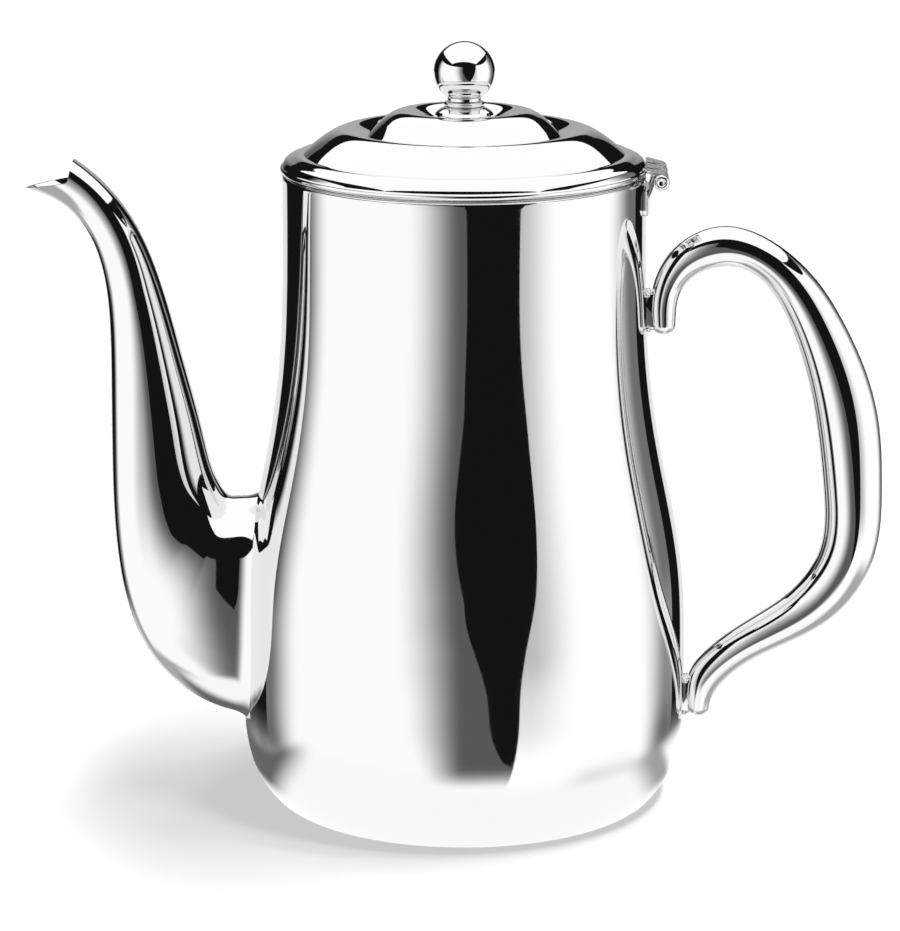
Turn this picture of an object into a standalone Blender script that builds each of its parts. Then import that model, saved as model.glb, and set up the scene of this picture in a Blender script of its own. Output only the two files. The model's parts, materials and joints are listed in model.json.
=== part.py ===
"""Coffee pot with a hinged lid: drawn body, two-part spout, hollow handle, finial.

Metres, +Z up. The origin is the centre of the flat base, the spout points
along -X, and the handle and the lid's hinge are on the +X side, so the whole
pot is symmetric about the XZ plane. The lid turns about the hinge pin, which
runs along Y just outside the rim.
"""
import math

import bmesh
import bpy
import numpy as np
from mathutils import Vector

# Fits and wall thicknesses
GAP = 0.0003                 # clearance kept between neighbouring pieces
BODY_WALL = 0.0009
SPOUT_WALL = 0.0009
HANDLE_WALL = 0.0010
LID_WALL = 0.0008

# Body: flat base, small base edge, full belly, waisted neck
BASE_OPENING = 0.0480        # radius of the opening that the base disc closes
BASE_EDGE = 0.0016           # radius of the fillet round the flat
BASE_EDGE_CENTRE = 0.0528
RIM_RADIUS = 0.0499
RIM_HEIGHT = 0.1769
BODY_SIDE = [(0.0543, 0.0006), (0.0577, 0.0050), (0.0600, 0.0098), (0.0616, 0.0165), (0.0623, 0.0250),
             (0.0623, 0.0400), (0.0613, 0.0640), (0.0585, 0.0815), (0.0545, 0.1010),
             (0.0513, 0.1240), (0.0501, 0.1500), (RIM_RADIUS, RIM_HEIGHT)]

# Spout: stations from the root, inside the body's outline, to past the mouth.
# Each is the under side (x, z), the upper side (x, z) and half the width in Y.
SPOUT_STATIONS = [(-0.0600, 0.0234, -0.0550, 0.0846, 0.0215),
                  (-0.0724, 0.0275, -0.0628, 0.0843, 0.0203),
                  (-0.0838, 0.0360, -0.0663, 0.0845, 0.0182),
                  (-0.0930, 0.0508, -0.0687, 0.0878, 0.0158),
                  (-0.0974, 0.0708, -0.0710, 0.0937, 0.0136),
                  (-0.0985, 0.0960, -0.0737, 0.1055, 0.0116),
                  (-0.0984, 0.1210, -0.0778, 0.1220, 0.0098),
                  (-0.0992, 0.1430, -0.0838, 0.1440, 0.0079),
                  (-0.1032, 0.1580, -0.0914, 0.1625, 0.0066),
                  (-0.1104, 0.1671, -0.1015, 0.1750, 0.0062),
                  (-0.1226, 0.1724, -0.1160, 0.1850, 0.0064)]
# Mouth: the tube is cut by a long, nearly level face and a short steep one
MOUTH_TIP = (-0.1208, 0.1719)
MOUTH_CORNER = (-0.1086, 0.1740)
MOUTH_PEAK = (-0.1076, 0.1794)
MOUTH_FILLET = 0.0012
# Strainer holes through the body wall behind the spout
HOLE_RADIUS = 0.0026
HOLE_PITCH = 0.0088
HOLE_FIELD = (0.0150, 0.0225)    # half width and half height of the holes' oval field
HOLE_CENTRE_Z = 0.0545
HOLE_SIDES = 10
DRILL_X = (-0.0700, -0.0500)     # the drill passes through the spout side of the wall only

# Handle: stations from the upper end, over the arch and the grip, to the lower end.
# Each is the back (outer) edge (x, z), the front (finger side) edge and half the width in Y.
HANDLE_STATIONS = [(0.0518, 0.1346, 0.0585, 0.1346, 0.0033),
                   (0.0515, 0.1415, 0.0590, 0.1410, 0.0037),
                   (0.0560, 0.1538, 0.0626, 0.1475, 0.0043),
                   (0.0632, 0.1599, 0.0672, 0.1501, 0.0049),
                   (0.0717, 0.1622, 0.0726, 0.1511, 0.0053),
                   (0.0892, 0.1550, 0.0824, 0.1469, 0.0056),
                   (0.1047, 0.1359, 0.0921, 0.1300, 0.0063),
                   (0.1149, 0.1098, 0.0981, 0.1064, 0.0071),
                   (0.1169, 0.0890, 0.1003, 0.0890, 0.0073),
                   (0.1146, 0.0670, 0.1000, 0.0712, 0.0069),
                   (0.1030, 0.0501, 0.0922, 0.0583, 0.0062),
                   (0.0838, 0.0394, 0.0780, 0.0480, 0.0053),
                   (0.0744, 0.0324, 0.0677, 0.0396, 0.0045),
                   (0.0710, 0.0280, 0.0637, 0.0335, 0.0041),
                   (0.0697, 0.0238, 0.0630, 0.0246, 0.0036)]
HANDLE_CAP = 0.0030              # depth of the rounded ends
CAP_ANGLES = (28.0, 54.0, 76.0)  # where the rounded ends' extra stations sit, in degrees
LUG_HALF_WIDTH = 0.0020
UPPER_LUG = (0.0490, 0.0546, 0.1336, 0.1436)     # x from, x to, z from, z to
LOWER_LUG = (0.0600, 0.0660, 0.0228, 0.0324)

# Lid, as heights above the rim: brim, lower dome, upper dome and the dish under the finial
EDGE_RADIUS = 0.0505
BEAD = 0.0009                    # radius of the rolled edge
BEAD_HEIGHT = 0.0013             # height of the rolled edge's centre
BRIM = [(0.0499, 0.0029), (0.0490, 0.0036), (0.0474, 0.0044), (0.0456, 0.0051), (0.0440, 0.0053)]
LOWER_DOME = [(0.0440, 0.0053), (0.0366, 0.0108), (0.0326, 0.0121), (0.0264, 0.0104)]
UPPER_DOME = [(0.0264, 0.0104), (0.0236, 0.0133), (0.0202, 0.0160), (0.0160, 0.0171),
              (0.0115, 0.0160), (0.0075, 0.0140), (0.0022, 0.0139)]
SKIRT_RADIUS = 0.0484
SKIRT_WALL = 0.0007
SKIRT_DROP = 0.0070              # how far the skirt reaches below the rim
SKIRT_FLANGE = (0.0456, 0.0038)  # inner edge of the flange welded under the brim

# Finial, as heights above the rim
BALL_RADIUS = 0.00838
BALL_HEIGHT = 0.0275
NECK_RADIUS = 0.0046
NECK_BOTTOM = 0.0198
COLLAR_RADIUS = 0.0056
COLLAR = (0.0182, 0.0195)
FOOT_TOP = 0.0179
FOOT_OUTLINE = [(0.0056, 0.0179), (0.0064, 0.0175), (0.0075, 0.0168), (0.0081, 0.0160),
                (0.0083, 0.0152), (0.0083, 0.01455)]
FOOT_SEAT = 0.01425
STUD_RADIUS = 0.0015
STUD_HOLE = 0.0018
STUD = (0.0076, 0.0270)
WASHER = (0.0120, 0.0128)
WASHER_RADIUS = 0.0045
NUT = (0.0092, 0.0117)
NUT_FLATS = 0.0070

# Hinge: five knuckles on one pin along Y
HINGE_X = 0.0538                 # outside the lid's edge by the radius of a knuckle and a little more
HINGE_Z = RIM_HEIGHT - 0.0007
PIN_RADIUS = 0.0011
EYE_INNER = 0.0014
EYE_OUTER = 0.0022
HEAD_RADIUS = 0.00215
HEAD_THICKNESS = 0.0009
KNUCKLE = 0.00488                # pitch of the knuckles along the pin
BARREL_HALF = 2.5 * KNUCKLE
LEAF_THICKNESS = EYE_OUTER - EYE_INNER
LID_LEAF_START = (0.0500, 0.00255)       # top edge of the plate, x and height above the rim
KNUCKLE_SLOT = (0.0516, 0.0570, 0.1730, 0.1800)  # x from, x to, z from, z to
LID_TRIM = 0.010                 # height of the disc that trims the plate to the lid's edge
TRIM_SEGMENTS = 96
BODY_LEAF_HALF = 0.0104
BODY_LEAF_Z = (0.1663, 0.1734)
BODY_LEAF_THICKNESS = 0.0010
BODY_LEAF_CORNER = 0.0018
BODY_LEAF_NECK = [(0.0511, 0.1722), (0.0505, 0.1708), (0.0505, 0.1728)]  # where a finger leaves

BODY_SEGMENTS = 36
SMALL_SEGMENTS = 16


def clear_scene():
    for obj in list(bpy.data.objects):
        bpy.data.objects.remove(obj)


def steel(name, colour, roughness):
    """A bare metal: colour is linear RGB."""
    material = bpy.data.materials.new(name)
    material.use_nodes = True
    shader = material.node_tree.nodes["Principled BSDF"]
    shader.inputs["Base Color"].default_value = (*colour, 1.0)
    shader.inputs["Roughness"].default_value = roughness
    shader.inputs["Metallic"].default_value = 1.0
    return material


def natural_spline(points, per_span=2):
    """The natural cubic spline through points, cut into per_span steps between neighbours."""
    points = np.array(points, float)
    steps = np.linalg.norm(np.diff(points, axis=0), axis=1)
    size = len(points)
    system = np.eye(size)
    right = np.zeros_like(points)
    for i in range(1, size - 1):
        before, after = steps[i - 1], steps[i]
        system[i, i - 1:i + 2] = before, 2 * (before + after), after
        right[i] = 6 * ((points[i + 1] - points[i]) / after - (points[i] - points[i - 1]) / before)
    bend = np.linalg.solve(system, right)
    result = [points[0]]
    for i, span in enumerate(steps):
        for k in range(1, per_span + 1):
            left = span * k / per_span
            rest = span - left
            value = (bend[i] * rest ** 3 + bend[i + 1] * left ** 3) / (6 * span)
            value += (points[i] / span - bend[i] * span / 6) * rest
            value += (points[i + 1] / span - bend[i + 1] * span / 6) * left
            result.append(value)
    return result


def arc(centre, radii, start, end, count):
    """count points on an ellipse's arc from start to end, in degrees."""
    angles = [math.radians(start + (end - start) * i / (count - 1)) for i in range(count)]
    return [(centre[0] + radii[0] * math.cos(a), centre[1] + radii[1] * math.sin(a)) for a in angles]


def offset_line(points, distance):
    """An open line moved to its left by distance, mitred at its corners."""
    points = [Vector(p) for p in points]
    result = []
    for i, point in enumerate(points):
        back = (point - points[max(i - 1, 0)]).normalized() if i else None
        ahead = (points[i + 1] - point).normalized() if i + 1 < len(points) else None
        back = back or ahead
        ahead = ahead or back
        normals = [Vector((-d.y, d.x)) for d in (back, ahead)]
        middle = (normals[0] + normals[1]).normalized()
        result.append(tuple(point + middle * (distance / max(middle.dot(normals[0]), 0.5))))
    return result


def finish_mesh(name, bm, material, sharp=35.0):
    """Turn bm into an object with outward faces and smooth rounds."""
    bmesh.ops.recalc_face_normals(bm, faces=bm.faces)
    mesh = bpy.data.meshes.new(name)
    bm.to_mesh(mesh)
    bm.free()
    mesh.shade_smooth()
    mesh.set_sharp_from_angle(angle=math.radians(sharp))
    obj = bpy.data.objects.new(name, mesh)
    bpy.context.collection.objects.link(obj)
    if material:
        mesh.materials.append(material)
    return obj


def revolve(name, outline, material, segments=SMALL_SEGMENTS, closed=True, base=0.0, axis="Z"):
    """Turn an outline of (radius, height) points about Z, or about Y through the hinge pin.

    A closed outline is a loop that stays off the axis. An open one starts and ends on it.
    """
    bm = bmesh.new()
    rings = []
    for radius, height in outline:
        count = 1 if radius < 1e-7 else segments
        ring = []
        for k in range(count):
            angle = 2 * math.pi * k / segments
            across, along = radius * math.cos(angle), radius * math.sin(angle)
            place = (across, along, base + height)
            if axis == "Y":
                place = (HINGE_X + across, height, HINGE_Z + along)
            ring.append(bm.verts.new(place))
        rings.append(ring)
    pairs = list(zip(rings, rings[1:] + rings[:1])) if closed else list(zip(rings, rings[1:]))
    for first, second in pairs:
        for k in range(segments):
            corners = [first[k % len(first)], first[(k + 1) % len(first)],
                       second[(k + 1) % len(second)], second[k % len(second)]]
            face = list(dict.fromkeys(corners))
            if len(face) > 2:
                bm.faces.new(face)
    return finish_mesh(name, bm, material)


def extrude_outline(name, outline, y_from, y_to, material):
    """A prism: an outline of (x, z) points swept along Y."""
    bm = bmesh.new()
    front = [bm.verts.new((x, y_from, z)) for x, z in outline]
    back = [bm.verts.new((x, y_to, z)) for x, z in outline]
    bm.faces.new(front)
    bm.faces.new(back)
    count = len(outline)
    for i in range(count):
        j = (i + 1) % count
        bm.faces.new((front[i], front[j], back[j], back[i]))
    return finish_mesh(name, bm, material)


def rectangle(x_from, x_to, z_from, z_to):
    return [(x_from, z_from), (x_to, z_from), (x_to, z_to), (x_from, z_to)]


def boolean(target, tool, operation):
    """Apply an exact Boolean to target and delete the tool."""
    modifier = target.modifiers.new("cut", "BOOLEAN")
    modifier.operation = operation
    modifier.solver = "EXACT"
    modifier.object = tool
    graph = bpy.context.evaluated_depsgraph_get()
    mesh = bpy.data.meshes.new_from_object(target.evaluated_get(graph))
    target.modifiers.clear()
    target.data = mesh
    bpy.data.objects.remove(tool)


def body_outline():
    """The body's outer line, from the base's flat up to the rim."""
    edge = arc((BASE_EDGE_CENTRE, BASE_EDGE), (BASE_EDGE, BASE_EDGE), -90, -52, 3)
    side = natural_spline(BODY_SIDE)
    return [(BASE_OPENING, 0.0)] + edge + [tuple(p) for p in side[1:]]


def body_envelope():
    """A solid one gap larger than the body, which trims the pieces that meet it."""
    outline = offset_line(body_outline(), -GAP)
    outline = [(0.0, -GAP)] + outline + [(outline[-1][0], RIM_HEIGHT), (0.0, RIM_HEIGHT)]
    return revolve("envelope", outline, None, BODY_SEGMENTS, closed=False)


def make_body(material):
    """The drawn vessel: open at the rim, with the strainer holes behind the spout."""
    outer = body_outline()
    inner = offset_line(outer, BODY_WALL)
    inner[0] = (BASE_OPENING, BODY_WALL)
    inner[-1] = (inner[-1][0], RIM_HEIGHT)
    body = revolve("body_shell", outer + inner[::-1], material, BODY_SEGMENTS)
    reach = math.ceil(HOLE_FIELD[1] / HOLE_PITCH)
    for row in range(-reach, reach + 1):
        z = row * HOLE_PITCH * math.sqrt(3) / 2
        for column in range(-reach, reach + 1):
            y = (column + 0.5 * (row % 2)) * HOLE_PITCH
            if (y / HOLE_FIELD[0]) ** 2 + (z / HOLE_FIELD[1]) ** 2 > 1.0:
                continue
            drill_hole(body, y, HOLE_CENTRE_Z + z)
    return body


def drill_hole(body, y, z):
    """One strainer hole along X through the spout side of the body wall."""
    bm = bmesh.new()
    angles = [2 * math.pi * k / HOLE_SIDES for k in range(HOLE_SIDES)]
    circle = [(y + HOLE_RADIUS * math.cos(a), z + HOLE_RADIUS * math.sin(a)) for a in angles]
    ends = [[bm.verts.new((x, *point)) for point in circle] for x in DRILL_X]
    for ring in ends:
        bm.faces.new(ring)
    for k in range(HOLE_SIDES):
        j = (k + 1) % HOLE_SIDES
        bm.faces.new((ends[0][k], ends[0][j], ends[1][j], ends[1][k]))
    boolean(body, finish_mesh("drill", bm, None), "DIFFERENCE")


def make_base(material):
    """The disc welded into the bottom of the body; its under side is the resting face."""
    radius = BASE_OPENING - GAP
    outline = [(0.0, 0.0), (radius, 0.0), (radius, BODY_WALL), (0.0, BODY_WALL)]
    return revolve("base_disc", outline, material, BODY_SEGMENTS, closed=False)


def half_ring(station, side, wall, segments):
    """Half of a tube's section on one side of the XZ plane, under or back edge first."""
    back, front = Vector((station[0], station[1])), Vector((station[2], station[3]))
    centre, reach = (back + front) / 2, (back - front) / 2
    reach = reach * (1 - wall / reach.length)
    width = station[4] - wall
    ring = []
    for k in range(segments + 1):
        angle = math.pi * k / segments
        point = centre + reach * math.cos(angle)
        ring.append((point.x, side * (GAP / 2 + width * math.sin(angle)), point.y))
    return ring


def half_shell(name, outer, inner, capped, material):
    """A half tube between two lists of half rings, with open or closed ends."""
    bm = bmesh.new()
    outer = [[bm.verts.new(p) for p in ring] for ring in outer]
    inner = [[bm.verts.new(p) for p in ring] for ring in inner]
    for skin in (outer, inner):
        for first, second in zip(skin, skin[1:]):
            for k in range(len(first) - 1):
                bm.faces.new((first[k], first[k + 1], second[k + 1], second[k]))
    for k in (0, -1):
        for i in range(len(outer) - 1):
            bm.faces.new((outer[i][k], outer[i + 1][k], inner[i + 1][k], inner[i][k]))
    for end in (0, -1):
        if capped:
            bm.faces.new(outer[end])
            bm.faces.new(inner[end])
            bm.faces.new((outer[end][0], outer[end][-1], inner[end][-1], inner[end][0]))
            continue
        for k in range(len(outer[end]) - 1):
            bm.faces.new((outer[end][k], outer[end][k + 1], inner[end][k + 1], inner[end][k]))
    return finish_mesh(name, bm, material)


def mouth_cutter():
    """The prism above the mouth's two faces, with a fillet where they meet."""
    tip, corner, peak = Vector(MOUTH_TIP), Vector(MOUTH_CORNER), Vector(MOUTH_PEAK)
    level, steep = (tip - corner).normalized(), (peak - corner).normalized()
    half = level.angle(steep) / 2
    centre = corner + (level + steep).normalized() * (MOUTH_FILLET / math.sin(half))
    start = (corner + level * MOUTH_FILLET / math.tan(half)) - centre
    end = (corner + steep * MOUTH_FILLET / math.tan(half)) - centre
    fillet = []
    for k in range(5):
        blend = start.lerp(end, k / 4).normalized() * MOUTH_FILLET
        fillet.append(tuple(centre + blend))
    outline = [tuple(corner + level * 0.025)] + fillet + [tuple(corner + steep * 0.020)]
    outline.append((outline[0][0], outline[-1][1]))
    return extrude_outline("mouth", outline, -0.02, 0.02, None)


def make_spout(side, name, material):
    """One pressed half of the spout, trimmed to the body and at the mouth."""
    stations = natural_spline(SPOUT_STATIONS)
    outer = [half_ring(s, side, 0.0, 7) for s in stations]
    inner = [half_ring(s, side, SPOUT_WALL, 7) for s in stations]
    half = half_shell(name, outer, inner, False, material)
    boolean(half, body_envelope(), "DIFFERENCE")
    boolean(half, mouth_cutter(), "DIFFERENCE")
    return half


def capped_stations(depth):
    """The handle's stations with a rounded end of the given depth added at both ends."""
    stations = [np.array(s) for s in natural_spline(HANDLE_STATIONS)]
    result = list(stations)
    for end, neighbour, insert in ((stations[0], stations[1], 0), (stations[-1], stations[-2], None)):
        centre = (end[:2] + end[2:4]) / 2
        outward = centre - (neighbour[:2] + neighbour[2:4]) / 2
        outward /= np.linalg.norm(outward)
        for angle in CAP_ANGLES:
            shrink, shift = math.cos(math.radians(angle)), math.sin(math.radians(angle))
            moved = np.array(end)
            moved[:2] = centre + (end[:2] - centre) * shrink + outward * depth * shift
            moved[2:4] = centre + (end[2:4] - centre) * shrink + outward * depth * shift
            moved[4] = end[4] * shrink
            if insert is None:
                result.append(moved)
            else:
                result.insert(0, moved)
    return result


def scaled_ring(station, side, wall, segments):
    """Like half_ring, but in the rounded ends the wall takes at most 80% of the section."""
    size = math.hypot(station[0] - station[2], station[1] - station[3]) / 2
    return half_ring(station, side, min(wall, 0.8 * size, 0.8 * station[4]), segments)


def make_handle(side, name, material):
    """One pressed half of the hollow handle, with slots for the two lugs."""
    outer = [half_ring(s, side, 0.0, 6) for s in capped_stations(HANDLE_CAP)]
    inner = [scaled_ring(s, side, HANDLE_WALL, 6) for s in capped_stations(HANDLE_CAP - HANDLE_WALL)]
    half = half_shell(name, outer, inner, True, material)
    for x_from, x_to, z_from, z_to in (UPPER_LUG, LOWER_LUG):
        slot = rectangle(x_from, x_to + GAP, z_from - GAP, z_to + GAP)
        reach = LUG_HALF_WIDTH + GAP
        boolean(half, extrude_outline("slot", slot, -reach, reach, None), "DIFFERENCE")
    return half


def make_lug(name, box, material):
    """A flat lug, fitted to the body and reaching into the handle's end."""
    lug = extrude_outline(name, rectangle(*box), -LUG_HALF_WIDTH, LUG_HALF_WIDTH, material)
    boolean(lug, body_envelope(), "DIFFERENCE")
    return lug


def lid_outline():
    """The lid's upper line, from the rolled edge in to the stud hole."""
    bead_centre = (EDGE_RADIUS - BEAD, BEAD_HEIGHT)
    bead = arc(bead_centre, (BEAD, BEAD), -90, 60, 5)
    line = bead + BRIM[:-1]
    line += [tuple(p) for p in natural_spline(LOWER_DOME)]
    line += [tuple(p) for p in natural_spline(UPPER_DOME)][1:]
    return line


def make_lid(material):
    """The pressed two-step dome with its rolled edge."""
    outer = lid_outline()
    inner = offset_line(outer[4:], LID_WALL)
    inner[-1] = (outer[-1][0], outer[-1][1] - LID_WALL)
    lip = (EDGE_RADIUS - 1.9 * BEAD, BEAD_HEIGHT - 0.2 * BEAD)
    loop = outer + inner[::-1][:-1] + [lip]
    return revolve("lid_dome", loop, material, BODY_SEGMENTS, base=RIM_HEIGHT)


def make_skirt(material):
    """The ring welded under the brim, which centres the lid in the rim."""
    inside = SKIRT_RADIUS - SKIRT_WALL
    flange, top = SKIRT_FLANGE
    corner = top - (SKIRT_RADIUS - flange) / 2
    loop = [(SKIRT_RADIUS, -SKIRT_DROP), (SKIRT_RADIUS, corner), (flange, top),
            (flange, top - SKIRT_WALL), (inside, corner - SKIRT_WALL), (inside, -SKIRT_DROP)]
    return revolve("lid_skirt", loop, material, BODY_SEGMENTS, base=RIM_HEIGHT)


def make_finial(material, plain):
    """Ball, collar and foot on a stud, held by a washer and a nut under the lid."""
    base = RIM_HEIGHT
    meet = math.degrees(math.asin(NECK_RADIUS / BALL_RADIUS))
    ball = arc((0.0, BALL_HEIGHT), (BALL_RADIUS, BALL_RADIUS), 90, meet - 90, 13)
    ball[0] = (0.0, ball[0][1])
    neck = [(NECK_RADIUS, NECK_BOTTOM), (STUD_HOLE, NECK_BOTTOM), (STUD_HOLE, STUD[1] + GAP),
            (0.0, STUD[1] + GAP)]
    pieces = [revolve("finial_ball", ball + neck, material, closed=False, base=base)]
    middle = (COLLAR[0] + COLLAR[1]) / 2
    half = (COLLAR[1] - COLLAR[0]) / 2
    collar = arc((COLLAR_RADIUS - half, middle), (half, half), -90, 90, 6)
    collar += [(STUD_HOLE, COLLAR[1]), (STUD_HOLE, COLLAR[0])]
    pieces.append(revolve("finial_collar", collar, material, base=base))
    foot = FOOT_OUTLINE + [(0.0062, FOOT_SEAT), (STUD_HOLE, FOOT_SEAT), (STUD_HOLE, FOOT_TOP)]
    pieces.append(revolve("finial_foot", foot, material, base=base))
    stud = [(0.0, STUD[0]), (STUD_RADIUS, STUD[0]), (STUD_RADIUS, STUD[1]), (0.0, STUD[1])]
    pieces.append(revolve("finial_stud", stud, plain, 12, closed=False, base=base))
    washer = [(WASHER_RADIUS, WASHER[0]), (WASHER_RADIUS, WASHER[1]),
              (STUD_HOLE, WASHER[1]), (STUD_HOLE, WASHER[0])]
    pieces.append(revolve("finial_washer", washer, plain, base=base))
    corner = NUT_FLATS / math.sqrt(3)
    nut = [(corner, NUT[0]), (corner, NUT[1]), (STUD_HOLE, NUT[1]), (STUD_HOLE, NUT[0])]
    pieces.append(revolve("finial_nut", nut, plain, 6, base=base))
    return pieces


def make_pin(material):
    """The hinge pin with a peened, domed head at each end."""
    head = arc((0.0, 0.0), (HEAD_RADIUS, HEAD_THICKNESS), 90, 0, 5)
    face = BARREL_HALF + GAP
    right = [(r, face + h) for r, h in head]
    right[0] = (0.0, right[0][1])
    half = right + [(PIN_RADIUS, face)]
    outline = half + [(r, -y) for r, y in half[::-1]]
    return revolve("hinge_pin", outline, material, 16, closed=False, axis="Y")


def make_lid_leaf(material):
    """The plate at the lid's edge, whose three fingers curl over the pin."""
    start = Vector((LID_LEAF_START[0], RIM_HEIGHT + LID_LEAF_START[1]))
    pin = Vector((HINGE_X, HINGE_Z))
    reach = start - pin
    tangent = math.degrees(math.atan2(reach.y, reach.x) - math.acos(EYE_OUTER / reach.length))
    outer = arc(pin, (EYE_OUTER, EYE_OUTER), tangent, -150, 10)
    inner = arc(pin, (EYE_INNER, EYE_INNER), -150, tangent, 10)
    down = Vector((math.cos(math.radians(tangent)), math.sin(math.radians(tangent))))
    outline = [tuple(start)] + outer + inner + [tuple(start - down * LEAF_THICKNESS)]
    leaf = extrude_outline("hinge_lid_leaf", outline, -BARREL_HALF, BARREL_HALF, material)
    for centre in (-KNUCKLE, KNUCKLE):
        half = KNUCKLE / 2 + GAP / 2
        tool = extrude_outline("slot", rectangle(*KNUCKLE_SLOT), centre - half, centre + half, None)
        boolean(leaf, tool, "DIFFERENCE")
    edge = EDGE_RADIUS + GAP
    disc = [(0.0, -LID_TRIM), (edge, -LID_TRIM), (edge, LID_TRIM), (0.0, LID_TRIM)]
    tool = revolve("edge", disc, None, TRIM_SEGMENTS, closed=False, base=RIM_HEIGHT)
    boolean(leaf, tool, "DIFFERENCE")
    return leaf


def make_body_leaf(material):
    """The plate on the neck, curved to it, whose two fingers curl round the pin."""
    bm = bmesh.new()
    inner = RIM_RADIUS + 2 * GAP
    outer = inner + BODY_LEAF_THICKNESS
    half_angle = math.asin(BODY_LEAF_HALF / outer)
    corner_angle = BODY_LEAF_CORNER / outer
    angles = [half_angle - corner_angle * (1 - math.cos(math.radians(a))) for a in (0, 30, 60, 90)]
    drops = [BODY_LEAF_CORNER * (1 - math.sin(math.radians(a))) for a in (0, 30, 60, 90)]
    columns = [(-a, d) for a, d in zip(angles, drops)] + [(0.0, 0.0)]
    columns += [(a, d) for a, d in zip(angles[::-1], drops[::-1])]
    loops = []
    for angle, drop in columns:
        loop = []
        for radius, z in ((inner, BODY_LEAF_Z[0] + drop), (outer, BODY_LEAF_Z[0] + drop),
                          (outer, BODY_LEAF_Z[1]), (inner, BODY_LEAF_Z[1])):
            loop.append(bm.verts.new((radius * math.cos(angle), radius * math.sin(angle), z)))
        loops.append(loop)
    bm.faces.new(loops[0])
    bm.faces.new(loops[-1])
    for first, second in zip(loops, loops[1:]):
        for k in range(4):
            bm.faces.new((first[k], first[(k + 1) % 4], second[(k + 1) % 4], second[k]))
    leaf = finish_mesh("hinge_body_leaf", bm, material)
    pin = (HINGE_X, HINGE_Z)
    for centre in (-KNUCKLE, KNUCKLE):
        outline = arc(pin, (EYE_OUTER, EYE_OUTER), 180, -110, 12)
        outline += arc(pin, (EYE_INNER, EYE_INNER), -110, 180, 12)
        outline += BODY_LEAF_NECK
        half = KNUCKLE / 2 - GAP / 2
        finger = extrude_outline("finger", outline, centre - half, centre + half, None)
        boolean(leaf, finger, "UNION")
    return leaf


def main():
    clear_scene()
    polished = steel("polished_steel", (0.80, 0.80, 0.81), 0.04)
    satin = steel("satin_steel", (0.66, 0.66, 0.67), 0.28)
    zinc = steel("plain_steel", (0.60, 0.60, 0.61), 0.35)
    make_body(polished)
    make_base(satin)
    make_spout(-1, "spout_half_front", polished)
    make_spout(1, "spout_half_back", polished)
    make_handle(-1, "handle_half_front", polished)
    make_handle(1, "handle_half_back", polished)
    make_lug("handle_upper_lug", UPPER_LUG, polished)
    make_lug("handle_lower_lug", LOWER_LUG, polished)
    make_body_leaf(polished)
    make_pin(polished)
    pivot = bpy.data.objects.new("lid_pivot", None)
    pivot.location = (HINGE_X, 0.0, HINGE_Z)
    bpy.context.collection.objects.link(pivot)
    lid_pieces = [make_lid(polished), make_skirt(satin), make_lid_leaf(polished)]
    lid_pieces += make_finial(polished, zinc)
    for piece in lid_pieces:
        piece.parent = pivot
        piece.matrix_parent_inverse = pivot.matrix_basis.inverted()


main()
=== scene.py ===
"""Looks of the polished steel coffee pot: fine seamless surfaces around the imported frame.

Metres, +Z up. The pot stands on z = 0 with its axis on Z, the spout points
along -X, and the handle and the lid's hinge are on the +X side.
"""

import json
import math

import bmesh
import bpy
import numpy as np
from mathutils import Matrix, Vector


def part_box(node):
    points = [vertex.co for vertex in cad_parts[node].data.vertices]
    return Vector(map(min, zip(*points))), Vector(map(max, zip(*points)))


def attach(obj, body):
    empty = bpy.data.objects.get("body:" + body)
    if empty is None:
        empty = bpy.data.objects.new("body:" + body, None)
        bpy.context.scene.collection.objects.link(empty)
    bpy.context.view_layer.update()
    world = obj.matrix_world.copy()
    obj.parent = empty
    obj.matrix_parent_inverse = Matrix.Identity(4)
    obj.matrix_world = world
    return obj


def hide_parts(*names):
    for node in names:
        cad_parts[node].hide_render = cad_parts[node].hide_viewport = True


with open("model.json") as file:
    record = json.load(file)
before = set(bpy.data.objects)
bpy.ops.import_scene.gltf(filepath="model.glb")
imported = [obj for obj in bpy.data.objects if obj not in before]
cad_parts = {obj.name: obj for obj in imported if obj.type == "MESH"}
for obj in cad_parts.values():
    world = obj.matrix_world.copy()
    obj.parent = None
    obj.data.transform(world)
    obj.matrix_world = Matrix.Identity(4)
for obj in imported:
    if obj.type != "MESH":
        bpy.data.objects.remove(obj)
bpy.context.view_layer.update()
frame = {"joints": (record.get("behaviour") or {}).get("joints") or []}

# ---------------------------------------------------------------- sizes from the frame
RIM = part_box("body_shell")[1].z  # height of the body's rim
HINGE = Vector(frame["joints"][0]["pos_m"])
LID_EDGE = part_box("lid_dome")[1].x  # radius of the lid's rolled edge

# ---------------------------------------------------------------- driving dimensions
FIT_GAP = 0.0001  # left between separate pieces that meet

BODY_WALL = 0.0009
BODY_SEGMENTS = 288
BASE_OPENING = 0.0480
BASE_RING = 0.0505  # outer radius of the flat ring that it stands on
BASE_EDGE = 0.0016
BASE_EDGE_CENTRE = 0.0528
RIM_RADIUS = 0.0499
RIM_ROLL = 0.0012  # radius of the rounding at the top of the wall
RIM_EDGE = 0.0002  # bevel of the rim's inner edge
BODY_SIDE = [(0.0543, 0.0006), (0.0577, 0.0050), (0.0600, 0.0098), (0.0616, 0.0165),
             (0.06228, 0.0250), (0.06228, 0.0400), (0.0613, 0.0640), (0.0585, 0.0815),
             (0.0545, 0.1010), (0.0513, 0.1240), (0.0501, 0.1500), (RIM_RADIUS, RIM)]

# Disc that closes the foot: the recess in its under side is (radius, height)
BASE_BEVEL = 0.0003
BASE_FILLET = 0.0004
BASE_RECESS = [(0.0400, 0.0), (0.0392, 0.0004), (0.0, 0.0004)]
BASE_SEGMENTS = 192

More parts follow.
